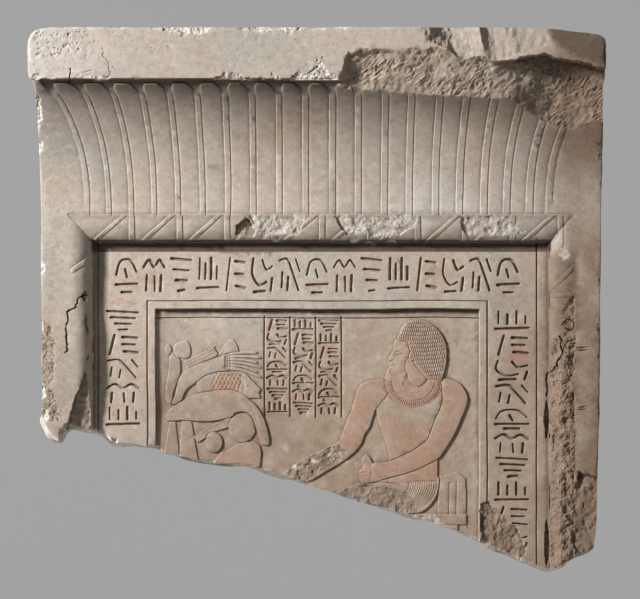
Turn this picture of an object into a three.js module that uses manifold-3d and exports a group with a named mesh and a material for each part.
// Upper part of a limestone stele carved as a false door: a plain slab over a cavetto of leaves, a lashed
// roll moulding, a sunk band for an inscription, and a sunk panel with a seated man before his offerings.
// The stone is broken off along a slope below, and part of the slab has split away.
//
// Millimetres. x runs to the right as one faces the carving, z runs up, and the flat back is the plane y = 0.
// A depth is the distance in front of the back, so a point at depth d has y = -d.

import * as THREE from 'three';
import { mergeVertices } from 'three/addons/utils/BufferGeometryUtils.js';
import Module from 'manifold-3d';

const wasm = await Module();
wasm.setup();

// ---- Driving sizes ----

const TOP = 282.5;
const SLAB_LEFT = -303.5;
const SLAB_RIGHT = 296.5;
const SLAB_HEIGHT = 55;
const SLAB_DEPTH = 148;

const BODY_DEPTH = 86;
const BODY_LEFT = -291;
const BODY_RIGHT = 294;
const LOWEST = -282.5;

const CAVETTO_BOTTOM = 89;
const CAVETTO_TOP = TOP - SLAB_HEIGHT;
const CAVETTO_ROWS = 7;
const CAVETTO_SWEEP = THREE.MathUtils.degToRad(47);
const CAVETTO_RADIUS = (CAVETTO_TOP - CAVETTO_BOTTOM) / Math.sin(CAVETTO_SWEEP);

const LEAVES = 19;
const RIB_WIDTH = 6;
const LEAF_SUNK = 1.2;
const LEAF_SPAN = 240;
const LEAF_CROWDING = 0.08;
const LEAF_SPLAY = 42;
const LEAF_SHOULDER = 9;

const ROLL_LEFT = -262;
const ROLL_RIGHT = 264.5;
const ROLL_SIDE = 26.5;
const ROLL_TOP = 30;
const ROLL_RISE = 2.5;
const ROLL_DROP = 16;
const ROLL_FLAT = 0.38;
const LASH_WIDTH = 5;
const LASH_RISE = 1;
const LASH_PITCH = 49.6;
const FIRST_LASH = -196;

const BAND_DEPTH = 69;
const BAND_TOP = CAVETTO_BOTTOM - ROLL_TOP;
const BORDER_LEFT = -231;
const BORDER_RIGHT = 225.5;
const BAND_WIDTH = 51.5;
const LINE_WIDTH = 1.8;
const LINE_CUT = 2;
const STROKE_WIDTH = 2.6;
const STROKE_CUT = 2.4;

const FRAME_LEFT = BORDER_LEFT + BAND_WIDTH;
const FRAME_RIGHT = BORDER_RIGHT - BAND_WIDTH;
const FRAME_TOP = -1.5;
const FRAME_WIDTH = 8.2;

const PANEL_DEPTH = 63;
const PANEL_TOP = FRAME_TOP - FRAME_WIDTH;
const COLUMNS = 3;
const COLUMN_PITCH = 26.6;
const COLUMN_LEFT = -57.5;
const COLUMN_TOP = -18;
const COLUMN_FOOT = -122;

const EMBEDDED = 4;
const SHORTEST_EDGE = 0.03;
const CLEAR = SLAB_DEPTH + 42;

// ---- Shapes and solids ----

const vector = ([x, z]) => new THREE.Vector2(x, z);

// A repeatable uneven number between -1 and 1.
function uneven(k) {
  const value = Math.sin(k * 127.1 + 11.7) * 43758.5453;
  return 2 * (value - Math.floor(value)) - 1;
}

function solidOf(geometry) {
  geometry.deleteAttribute('normal');
  geometry.deleteAttribute('uv');
  const merged = mergeVertices(geometry, 1e-4);
  return new wasm.Manifold(new wasm.Mesh({
    numProp: 3,
    vertProperties: new Float32Array(merged.attributes.position.array),
    triVerts: new Uint32Array(merged.index.array),
  }));
}

// A flat shape, given in x and z, as a plate between two depths.
function plate(shape, low, high) {
  const geometry = new THREE.ExtrudeGeometry(shape, { depth: high - low, bevelEnabled: false });
  geometry.translate(0, 0, low);
  geometry.rotateX(Math.PI / 2);
  return solidOf(geometry);
}

const outline = (points) => new THREE.Shape(points.map(vector));

const rectangle = (left, bottom, right, top) => outline([
  [left, bottom], [right, bottom], [right, top], [left, top],
]);

// A closed outline that runs smoothly through its points.
function rounded(points, stepsPerPoint = 2) {
  const through = points.map(([x, z]) => new THREE.Vector3(x, z, 0));
  const curve = new THREE.CatmullRomCurve3(through, true, 'centripetal');
  const around = curve.getPoints(points.length * stepsPerPoint).slice(0, -1);
  return outline(around.map((p) => [p.x, p.y]));
}

const oval = (x, z, halfWidth, halfHeight, steps = 12) => outline(
  Array.from({ length: steps }, (_, k) => {
    const angle = 2 * Math.PI * k / steps;
    return [x + halfWidth * Math.cos(angle), z + halfHeight * Math.sin(angle)];
  }),
);

// A stroke of even width along an open line, bent smoothly where it has more than two points.
function stroke(points, width, steps = 6) {
  const through = points.map(([x, z]) => new THREE.Vector3(x, z, 0));
  const straight = points.length === 2;
  const curve = straight ? new THREE.LineCurve3(...through) : new THREE.CatmullRomCurve3(through);
  const count = straight ? 1 : steps;
  const side = (sign) => Array.from({ length: count + 1 }, (_, k) => {
    const at = curve.getPoint(k / count);
    const along = curve.getTangent(k / count);
    return [at.x - sign * along.y * width / 2, at.y + sign * along.x * width / 2];
  });
  return outline([...side(-1), ...side(1).reverse()]);
}

const turned = ([a, b, c]) => [a, c, b];

// A closed solid through a row of sections, each a loop of the same number of [x, depth, z] points.
// u and v say which two of the three numbers span the plane of the end caps.
function loft(sections, [u, v]) {
  const ring = sections[0].length;
  const last = (sections.length - 1) * ring;
  const corners = sections.flat().map(([x, depth, z]) => [x, -depth, z]);
  const faces = [];
  for (let start = 0; start < last; start += ring) {
    for (let k = 0; k < ring; k += 1) {
      const a = start + k;
      const b = start + (k + 1) % ring;
      faces.push([a, b, b + ring], [a, b + ring, a + ring]);
    }
  }
  const cap = (section) => {
    const loop = section.map((point) => new THREE.Vector2(point[u], point[v]));
    const sense = Math.sign(THREE.ShapeUtils.area(loop));
    return THREE.ShapeUtils.triangulateShape(loop, []).map((face) => {
      const turn = Math.sign(THREE.ShapeUtils.area(face.map((k) => loop[k])));
      return turn === sense ? face : turned(face);
    });
  };
  faces.push(...cap(sections[0]).map(turned));
  faces.push(...cap(sections[sections.length - 1]).map((face) => face.map((k) => k + last)));
  const volume = faces.reduce((sum, face) => {
    const [p, q, r] = face.map((k) => new THREE.Vector3(...corners[k]));
    return sum + p.dot(q.cross(r));
  }, 0);
  const geometry = new THREE.BufferGeometry();
  geometry.setAttribute('position', new THREE.Float32BufferAttribute(corners.flat(), 3));
  geometry.setIndex((volume > 0 ? faces : faces.map(turned)).flat());
  return solidOf(geometry);
}

// A faceted lump, for the hollow that a chip or a break leaves: its middle and its half sizes in x, z and depth.
function lump([x, z, depth], [halfX, halfZ, halfDepth], seed, roughness = 0.18) {
  const geometry = new THREE.IcosahedronGeometry(1, 1);
  geometry.deleteAttribute('normal');
  geometry.deleteAttribute('uv');
  const merged = mergeVertices(geometry, 1e-4);
  const at = merged.attributes.position;
  for (let k = 0; k < at.count; k += 1) {
    const swell = 1 + roughness * uneven(seed + k);
    at.setXYZ(
      k,
      x + halfX * swell * at.getX(k),
      -depth + halfDepth * swell * at.getY(k),
      z + halfZ * swell * at.getZ(k),
    );
  }
  return solidOf(merged);
}

const join = (solids) => wasm.Manifold.union(solids);

// A solid's surface, with corners that nearly meet drawn together, so that no edge is too short to make.
function surfaceOf(solid) {
  const { vertProperties, triVerts } = solid.getMesh();
  const corner = (k) => new THREE.Vector3().fromArray(vertProperties, 3 * k);
  const same = Array.from({ length: vertProperties.length / 3 }, (_, k) => k);
  const kept = (k) => (same[k] === k ? k : kept(same[k]));
  for (let k = 0; k < triVerts.length; k += 1) {
    const next = k % 3 === 2 ? k - 2 : k + 1;
    const [a, b] = [kept(triVerts[k]), kept(triVerts[next])];
    if (a !== b && corner(a).distanceTo(corner(b)) < SHORTEST_EDGE) {
      same[b] = a;
    }
  }
  const faces = [];
  for (let k = 0; k < triVerts.length; k += 3) {
    const [a, b, c] = [kept(triVerts[k]), kept(triVerts[k + 1]), kept(triVerts[k + 2])];
    if (a !== b && b !== c && c !== a) {
      faces.push(a, b, c);
    }
  }
  const geometry = new THREE.BufferGeometry();
  geometry.setAttribute('position', new THREE.Float32BufferAttribute(vertProperties, 3));
  geometry.setIndex(faces);
  geometry.computeVertexNormals();
  return geometry;
}

// ---- The stone's outline, with the break below ----

function bodyOutline() {
  const left = [[-296, CAVETTO_TOP + 3], [-294, 188], [BODY_LEFT, 130], [-289.5, -126]];
  const corner = [[-283, -141], [-273, -148], [-269, -148], [-269, -136], [-264, -135], [-264, -131.5]];
  const margin = [[-225, -140], [-216, -150], [-174, -155], [-163, -159.5], [-130, -168], [-99, -172]];
  const slope = [[-73, -174], [-41, -183.5], [-21, -191], [27, -205.5], [67, -218], [88, -224], [124, -235.5]];
  const foot = [[165, -252], [182, -260.5], [207, -271], [237.5, LOWEST], [250, -280], [261, -270]];
  const right = [[279, -262.5], [285, -259.5], [288, -231], [289.5, -173], [291, -125], [BODY_RIGHT, 170]];
  return outline([...left, ...corner, ...margin, ...slope, ...foot, ...right, [BODY_RIGHT, CAVETTO_TOP + 3]]);
}

function slabOutline() {
  const bottom = CAVETTO_TOP;
  return outline([
    [SLAB_LEFT + 2, bottom], [SLAB_RIGHT - 0.5, bottom], [SLAB_RIGHT, 265], [SLAB_RIGHT - 2, 272],
    [SLAB_RIGHT - 14, 276.5], [250, 279.5], [220, 281.5], [185, TOP], [SLAB_LEFT + 22, TOP],
    [SLAB_LEFT + 9, TOP - 3], [SLAB_LEFT + 2, TOP - 10], [SLAB_LEFT, TOP - 22], [SLAB_LEFT, bottom + 9],
  ]);
}

// ---- The cavetto and its leaves ----

// How far the cavetto has swept forward, from 0 at its foot to nearly 1 under the slab.
const sweep = (z) => Math.min(1, Math.max(0, (z - CAVETTO_BOTTOM) / (CAVETTO_TOP - CAVETTO_BOTTOM)));

const cavettoDepth = (z) => BODY_DEPTH
  + CAVETTO_RADIUS * (1 - Math.sqrt(1 - (sweep(z) * Math.sin(CAVETTO_SWEEP)) ** 2));

// The two edges of the rib at one side of a leaf. The ribs lean outwards as they rise, most at the ends.
function ribEdges(index, z) {
  const u = 2 * index / LEAVES - 1;
  const foot = LEAF_SPAN * (u * (1 + LEAF_CROWDING) - LEAF_CROWDING * u ** 3) - 1;
  const lean = LEAF_SPLAY * Math.sign(u) * Math.abs(u) ** 2.6 * sweep(z) ** 2.4;
  const shoulder = LEAF_SHOULDER * Math.max(0, (sweep(z) - 0.86) / 0.14) ** 2;
  const middle = foot + lean + 0.8 * uneven(index);
  return [middle - RIB_WIDTH / 2 - shoulder, middle + RIB_WIDTH / 2 + shoulder / 4];
}

function cavetto() {
  const rows = Array.from({ length: CAVETTO_ROWS + 1 }, (_, row) => {
    const angle = CAVETTO_SWEEP * row / CAVETTO_ROWS;
    return CAVETTO_BOTTOM + (CAVETTO_TOP - CAVETTO_BOTTOM) * Math.sin(angle) / Math.sin(CAVETTO_SWEEP);
  });
  const sections = [CAVETTO_BOTTOM - 6, ...rows, CAVETTO_TOP + 4].map((z) => {
    const rib = cavettoDepth(z);
    const leaf = rib - LEAF_SUNK;
    const front = [[BODY_LEFT - 6, rib]];
    for (let index = 0; index <= LEAVES; index += 1) {
      const [left, right] = ribEdges(index, z);
      front.push(...(index > 0 ? [[left - 0.4, leaf], [left + 0.4, rib]] : []));
      front.push(...(index < LEAVES ? [[right - 0.4, rib], [right + 0.4, leaf]] : []));
    }
    front.push([BODY_RIGHT + 4, rib]);
    const behind = [[BODY_RIGHT + 4, BODY_DEPTH - 20], [BODY_LEFT - 6, BODY_DEPTH - 20]];
    return [...front, ...behind].map(([x, depth]) => [x, depth, z]);
  });
  return loft(sections, [0, 1]);
}

// ---- The roll moulding and its lashing ----

// The roll, mitred at its two upper corners. Its outer half is flat and nearly flush with the stone outside it,
// and its inner half rounds down towards the sunk band. grow makes it fuller, for the lashing that lies on it.
function roll(grow = 0) {
  const steps = 5;
  const crest = BODY_DEPTH + ROLL_RISE + grow;
  const foot = BODY_DEPTH - ROLL_DROP - 6;
  const profile = [[0, BODY_DEPTH + 0.5 + grow], [0.12, crest]];
  for (let k = 0; k <= steps; k += 1) {
    const angle = Math.PI / 2 * k / steps;
    const across = ROLL_FLAT + (1 - ROLL_FLAT) * Math.sin(angle);
    profile.push([across, crest - ROLL_DROP * (1 - Math.cos(angle))]);
  }
  profile.push([1, foot], [0, foot]);
  const stations = [
    (o) => [ROLL_LEFT + o * ROLL_SIDE, LOWEST - 10],
    (o) => [ROLL_LEFT + o * ROLL_SIDE, CAVETTO_BOTTOM - o * ROLL_TOP],
    (o) => [ROLL_RIGHT - o * ROLL_SIDE, CAVETTO_BOTTOM - o * ROLL_TOP],
    (o) => [ROLL_RIGHT - o * ROLL_SIDE, LOWEST - 10],
  ];
  const sections = stations.map((place) => profile.map(([o, depth]) => {
    const [x, z] = place(o);
    return [x, depth, z];
  }));
  return loft(sections, [0, 1]);
}

function lashing() {
  const top = CAVETTO_BOTTOM;
  const bands = [];
  for (let turn = 0; turn < 10; turn += 1) {
    const x = FIRST_LASH + turn * LASH_PITCH;
    bands.push(stroke([[x, top], [x, BAND_TOP]], LASH_WIDTH));
    bands.push(stroke([[x - LASH_PITCH + 8, BAND_TOP], [x - 5, top]], LASH_WIDTH));
  }
  bands.push(stroke([[ROLL_LEFT + 5, 30], [ROLL_LEFT + ROLL_SIDE, 46]], LASH_WIDTH));
  bands.push(stroke([[ROLL_RIGHT - ROLL_SIDE, 4], [ROLL_RIGHT, 4]], LASH_WIDTH));
  bands.push(stroke([[ROLL_RIGHT - ROLL_SIDE, 9], [ROLL_RIGHT, 34]], LASH_WIDTH));
  const laid = join(bands.map((band) => plate(band, BODY_DEPTH - ROLL_DROP, BODY_DEPTH + ROLL_RISE + 4)));
  return laid.intersect(roll(LASH_RISE));
}

// ---- The inscription: rows of strokes ----

// Each sign is one to four strokes in a cell that reaches from -0.5 to 0.5 both ways.
const SIGNS = [
  [[[-0.3, -0.45], [-0.2, 0.45]], [[0.02, -0.3], [0.38, -0.24]], [[0.02, 0.12], [0.3, 0.2]]],
  [[[-0.34, 0.02], [-0.2, 0.34], [0.12, 0.36], [0.3, 0.06]], [[-0.4, -0.36], [0.4, -0.3]]],
  [[[-0.26, -0.1], [-0.26, 0.36]], [[0, -0.1], [0, 0.36]], [[0.26, -0.1], [0.26, 0.36]],
    [[-0.4, -0.36], [0.4, -0.36]]],
  [[[-0.34, -0.4], [-0.14, 0.42]], [[0.1, -0.4], [0.3, 0.42]]],
  [[[-0.4, 0.38], [0.4, 0.34]], [[-0.3, 0.1], [0.3, 0.06]], [[-0.18, -0.18], [0.16, -0.2]],
    [[-0.08, -0.44], [0.1, -0.4]]],
  [[[-0.36, 0.4], [-0.4, 0.05], [-0.1, -0.2], [0.26, -0.14], [0.4, 0.14]], [[-0.05, 0.34], [0.14, 0.1]]],
];

function signStrokes(x, z, width, height, which) {
  return SIGNS[which % SIGNS.length].map((line) => stroke(
    line.map(([u, v]) => [x + u * width, z + v * height]),
    STROKE_WIDTH * (width > 20 ? 1 : 0.6),
    3,
  ));
}

function inscription() {
  const leftMiddle = FRAME_LEFT - BAND_WIDTH / 2;
  const rightMiddle = FRAME_RIGHT + BAND_WIDTH / 2;
  const strokes = [];
  const across = 15;
  for (let k = 0; k < across; k += 1) {
    const x = leftMiddle + 4 + (rightMiddle - leftMiddle - 8) * k / (across - 1);
    strokes.push(...signStrokes(x, 26, 22, 36, 5 * k + 1));
  }
  for (let k = 0; k < 5; k += 1) {
    strokes.push(...signStrokes(leftMiddle, -22 - 25 * k, 30, 21, 3 * k + 4));
  }
  for (let k = 0; k < 10; k += 1) {
    strokes.push(...signStrokes(rightMiddle, -22 - 25.5 * k, 30, 21, 5 * k + 2));
  }
  return strokes.map((shape) => plate(shape, BAND_DEPTH - STROKE_CUT, BAND_DEPTH + 1));
}

function bandLines() {
  const lines = [
    [[BORDER_LEFT, BAND_TOP + 5], [BORDER_LEFT, LOWEST]],
    [[BORDER_RIGHT, BAND_TOP + 5], [BORDER_RIGHT, LOWEST]],
    [[FRAME_LEFT, FRAME_TOP], [FRAME_LEFT, LOWEST]],
    [[FRAME_RIGHT, FRAME_TOP], [FRAME_RIGHT, LOWEST]],
    [[FRAME_LEFT - LINE_WIDTH / 2, FRAME_TOP], [FRAME_RIGHT + LINE_WIDTH / 2, FRAME_TOP]],
  ];
  return lines.map((line) => plate(stroke(line, LINE_WIDTH), BAND_DEPTH - LINE_CUT, BAND_DEPTH + 1));
}

// Three short columns of small strokes over the offerings, between upright lines.
function columns() {
  const shapes = [];
  for (let k = 0; k <= COLUMNS; k += 1) {
    const x = COLUMN_LEFT + k * COLUMN_PITCH;
    shapes.push(stroke([[x, COLUMN_TOP + 2], [x, COLUMN_FOOT]], LINE_WIDTH));
  }
  for (let column = 0; column < COLUMNS; column += 1) {
    for (let row = 0; row < 7; row += 1) {
      const x = COLUMN_LEFT + (column + 0.5) * COLUMN_PITCH;
      const z = COLUMN_TOP - 8.5 - 14.4 * row;
      shapes.push(...signStrokes(x, z, 19, 11, 5 * row + 2 * column));
    }
  }
  shapes.push(stroke([[FRAME_LEFT + FRAME_WIDTH, COLUMN_TOP], [FRAME_RIGHT - FRAME_WIDTH, COLUMN_TOP]], 1.3));
  return shapes.map((shape) => plate(shape, PANEL_DEPTH - 1.8, PANEL_DEPTH + 1));
}

// ---- The raised figures in the panel ----

const raised = ([shape, rise]) => plate(shape, PANEL_DEPTH - EMBEDDED, PANEL_DEPTH + rise);

// Food for the dead, heaped over two stands.
function offerings() {
  const gourd = rounded([[-156, -46], [-149, -56], [-145, -78], [-150, -106], [-157, -108], [-161, -84]]);
  const loaf = rounded([[-148, -42], [-137, -43], [-136, -56], [-141, -66], [-149, -62]]);
  const cut = outline([[-142.4, -67], [-109, -51.5], [-104.6, -58.6], [-137.6, -74.6]]);
  const cone = outline([[-106, -58], [-93, -41.5], [-86, -45], [-83, -56]]);
  const leeks = rounded([[-152, -107], [-141, -84], [-118, -68], [-84, -57], [-68, -66], [-74, -80],
    [-112, -80], [-134, -92], [-145, -108]]);
  const heap = rounded([[-131, -92], [-122, -80], [-98, -73], [-82, -84], [-86, -98], [-112, -98]]);
  const head = rounded([[-82, -80], [-76, -77], [-63, -94], [-64, -103], [-74, -104], [-86, -98]]);
  const goose = rounded([[-160, -120], [-142, -106], [-118, -97], [-92, -97], [-70, -109], [-54, -136],
    [-56, -149], [-66, -145], [-72, -128], [-86, -118], [-104, -123], [-132, -126], [-150, -125]]);
  const bundle = outline([[-132, -143], [-101, -121], [-91, -127], [-96, -134], [-127, -148]]);
  const gourds = [oval(-77, -131, 11, 13), oval(-109, -150, 8, 10)];
  const jar = rounded([[-112, -152], [-98, -160], [-80, -146], [-64, -142], [-61, -160], [-64, -176],
    [-90, -178], [-112, -172]]);
  const stands = [
    outline([[-157, -123], [-150, -123], [-146, -170], [-161, -170]]),
    outline([[-143, -123], [-134, -123], [-128, -176], [-146, -176]]),
  ];
  return [
    [stands[0], 1.8], [stands[1], 2], [gourd, 2.2], [loaf, 1.8], [cut, 2.4], [cone, 1.6], [leeks, 2.8],
    [heap, 2], [head, 2.6], [jar, 2.2], [bundle, 2.9], [gourds[0], 2.5], [gourds[1], 3], [goose, 3.3],
  ].map(raised);
}

// A seated man facing left: wig, bead collar, bare arms and chest, kilt, and the low back of his chair.
function seatedMan() {
  const wig = rounded([[80, -40.5], [83, -31], [91, -23.5], [103, -21], [117, -25], [128, -36], [132.5, -54],
    [131.5, -70], [127.5, -83], [112, -82], [96, -69], [92.5, -56], [91, -45]]);
  const faceFront = [[80.5, -40], [77.4, -46], [76.6, -52], [75.2, -55.5], [70, -62], [73.6, -64.6],
    [72.2, -67.4], [73, -69.6], [74.4, -71.8], [73.6, -75.4], [78, -78.4]];
  const face = outline([...faceFront, [87, -79.5], [85, -90], [108, -90], [112, -78], [100, -50], [92, -40]]);
  const collar = oval(97.8, -85, 29.5, 27.5, 20);
  const chest = rounded([[68, -84], [97, -82], [128, -83], [142, -88], [135, -120], [124, -150], [122.5, -188],
    [100, -190], [74, -186], [70, -160], [65, -138], [57, -110], [48, -96]]);
  const farArm = rounded([[66, -84.5], [46, -88], [37, -99], [30, -122], [19, -149], [-4, -161], [-34, -178],
    [-18, -190], [17, -176], [36, -160], [46, -142], [58, -110], [70, -96]]);
  const nearArm = rounded([[128, -85], [143, -86], [153, -99], [152, -110], [143, -136], [125, -164],
    [98, -179], [66, -187.5], [44, -192], [40, -182], [43, -172], [54, -170], [80, -165], [100, -158],
    [113, -146], [128, -107]]);
  const cloth = rounded([[46, -160], [53, -164], [54, -172], [47, -174], [44, -167]]);
  const lap = rounded([[66, -186], [100, -184], [122, -187], [123, -201], [115, -214], [103, -224],
    [70, -226], [24, -214], [20, -203], [40, -194]]);
  const chair = outline([[124, -250], [124, -188], [130, -182], [142, -180], [150, -185], [153, -196],
    [153, -234.5], [147, -234.5], [147, -250]]);
  const seat = outline([[96, -223.5], [153.5, -223.5], [153.5, -234], [96, -234]]);
  return [
    [chair, 1.8], [seat, 2.4], [face, 2.6], [chest, 2.2], [farArm, 2.9], [lap, 2.8],
    [wig, 3.5], [collar, 3], [cloth, 2.6], [nearArm, 3.6],
  ].map(raised);
}

// Grooves cut into the raised figures: rows of curls, the collar's beads, pleats and the panel of the chair.
function figureLines() {
  const lines = [];
  for (let row = 0; row < 7; row += 1) {
    const z = -30 - 7.4 * row;
    const left = row < 2 ? 88 - 4 * row : 97 + 2.2 * Math.max(0, row - 4);
    lines.push([stroke([[left, z], [129 - 12 * Math.max(0, 1 - row), z]], 1), 3.5]);
  }
  for (const [halfWidth, halfHeight] of [[23, 21], [16, 14]]) {
    const half = Array.from({ length: 9 }, (_, k) => {
      const angle = Math.PI * (1.04 + 0.92 * k / 8);
      return [97.8 + halfWidth * Math.cos(angle), -85 + halfHeight * Math.sin(angle)];
    });
    lines.push([stroke(half, 1, 8), 3]);
  }
  for (let pleat = 0; pleat < 6; pleat += 1) {
    const inset = 3.2 * pleat + 2;
    lines.push([stroke([[121 - inset, -187], [120.5 - inset, -201], [110 - inset, -215 + inset / 2],
      [92 - inset, -220 + inset]], 1, 4), 2.8]);
  }
  lines.push([stroke([[136, -192], [136, -223]], 1.2), 1.8], [stroke([[145.5, -192], [145.5, -223]], 1.2), 1.8]);
  return lines.map(([shape, rise]) => plate(shape, PANEL_DEPTH + rise - 1, PANEL_DEPTH + rise + 2));
}

// ---- Breaks, chips and worn places ----

// The part of the slab that split away. Each station across it: x, then height and depth of the broken face
// where it starts in the slab, just under that, at its middle, and where it runs out in the cavetto.
function splitFace() {
  const stations = [
    [21, 257, 152, 248, 151, 238, 150, 218],
    [30, 262, 152, 254, 143, 238, 137, 217],
    [42, 264, 152, 254, 141, 238, 136, 216],
    [68, 266, 152, 255, 141, 238, 135, 214],
    [114, 266, 152, 256, 140, 238, 134, 211],
    [160, 257, 150, 250, 139, 236, 132, 209],
    [194, 250, 150, 246, 134, 230, 126, 206],
    [206, 252, 152, 247, 128, 226, 118, 190],
    [230, 256, 152, 249, 124, 222, 112, 178],
    [262, 249, 152, 243, 118, 220, 109, 174],
    [290, 242, 152, 238, 120, 218, 112, 183],
    [315, 240, 152, 237, 120, 218, 112, 190],
  ];
  return loft(stations.map(([x, z1, d1, z2, d2, z3, d3, z4]) => [
    [x, d1, z1], [x, d2, z2], [x, d3, z3], [x, cavettoDepth(z4), z4], [x, CLEAR, z4], [x, CLEAR, z1],
  ]), [1, 2]);
}

// Shells flaked off the top edge above the split.
function topFlakes() {
  const stations = [[108, 268, 0], [118, 266, 5], [130, 260, 12], [138, 257, 15], [150, 256, 11], [162, 256, 6],
    [171, 255, 3], [174, 255, 8], [190, 255, 7], [206, 256, 8], [226, 258, 6], [243, 266, 0]];
  return loft(stations.map(([x, z, bite]) => [
    [x, SLAB_DEPTH + 1, z], [x, SLAB_DEPTH + 1 - bite, TOP + 5], [x, CLEAR, TOP + 5], [x, CLEAR, z],
  ]), [1, 2]);
}

function chips() {
  const rollFace = BODY_DEPTH + ROLL_RISE;
  return [
    lump([-47, 75, rollFace + 1], [30, 15, 9], 1),
    lump([42, 76, rollFace + 2], [31, 16, 9], 2),
    lump([88, 74, rollFace + 2], [22, 15, 8], 3),
    lump([180, 74, rollFace + 2], [34, 14, 9], 4),
    lump([-238, 2, rollFace - 1], [8, 22, 8], 5),
    lump([-244, -96, rollFace - 1], [10, 34, 8], 6),
    lump([250, -24, rollFace], [11, 30, 7], 7),
    lump([250, -110, rollFace + 1], [17, 72, 11], 8),
    lump([251, -226, rollFace + 1], [18, 66, 12], 9),
    lump([-92, 229, SLAB_DEPTH + 2], [17, 7, 9], 11),
    lump([-32, 228, SLAB_DEPTH + 2], [11, 6, 8], 12),
    lump([2, 231, SLAB_DEPTH + 3], [19, 9, 9], 13),
    lump([-225, 230, SLAB_DEPTH + 2], [13, 7, 7], 14),
    lump([-262, 262, SLAB_DEPTH + 3], [26, 12, 5], 15),
    lump([-120, TOP + 1, SLAB_DEPTH + 1], [24, 6, 7], 16),
    lump([-45, TOP + 1, SLAB_DEPTH + 1], [30, 6, 6], 17),
    lump([-293, 196, cavettoDepth(196) - 2], [5, 26, 22], 18),
    lump([-290, 30, BODY_DEPTH], [4, 14, 8], 19),
    lump([-290, -100, BODY_DEPTH], [4, 16, 9], 20),
    lump([292, -32, BODY_DEPTH], [5, 14, 8], 21),
    lump([281, -226, BODY_DEPTH + 3], [17, 44, 9], 22),
    lump([4, -164, PANEL_DEPTH + 4], [15, 8, 3], 23),
    lump([66, -213, PANEL_DEPTH + 5], [34, 9, 4.5], 24),
    lump([205, -268, BAND_DEPTH + 3], [36, 10, 8], 25),
    lump([-18, -190, PANEL_DEPTH + 5], [40, 6, 6], 26),
    lump([140, -246, PANEL_DEPTH + 5], [28, 7, 7], 27),
  ];
}

// ---- The stele ----

function stele() {
  const inOutline = plate(bodyOutline(), 0, SLAB_DEPTH + 30);
  const hollow = rectangle(BODY_LEFT - 10, CAVETTO_BOTTOM, BODY_RIGHT + 10, CAVETTO_TOP);
  const body = plate(bodyOutline(), 0, BODY_DEPTH).subtract(plate(hollow, BODY_DEPTH - 10, BODY_DEPTH + 1));
  const carved = join([cavetto(), roll(), lashing()]).intersect(inOutline);
  const block = join([body, plate(slabOutline(), 0, SLAB_DEPTH), carved]);
  const band = rectangle(ROLL_LEFT + ROLL_SIDE, LOWEST - 10, ROLL_RIGHT - ROLL_SIDE, BAND_TOP);
  const panel = rectangle(FRAME_LEFT + FRAME_WIDTH, LOWEST - 10, FRAME_RIGHT - FRAME_WIDTH, PANEL_TOP);
  const recesses = [plate(band, BAND_DEPTH, SLAB_DEPTH), plate(panel, PANEL_DEPTH, SLAB_DEPTH)];
  const sunk = join([...recesses, ...inscription(), ...bandLines(), ...columns()]);
  const figures = join([...offerings(), ...seatedMan()]).subtract(join(figureLines())).intersect(inOutline);
  return block.subtract(sunk).add(figures).subtract(join([splitFace(), topFlakes(), ...chips()]));
}

const limestone = new THREE.MeshStandardMaterial({ color: 0xb8a592, roughness: 0.93, metalness: 0 });
limestone.flatShading = true;

const stone = new THREE.Mesh(surfaceOf(stele()), limestone);
stone.name = 'stele';

const part = new THREE.Group();
part.add(stone);

export default part;
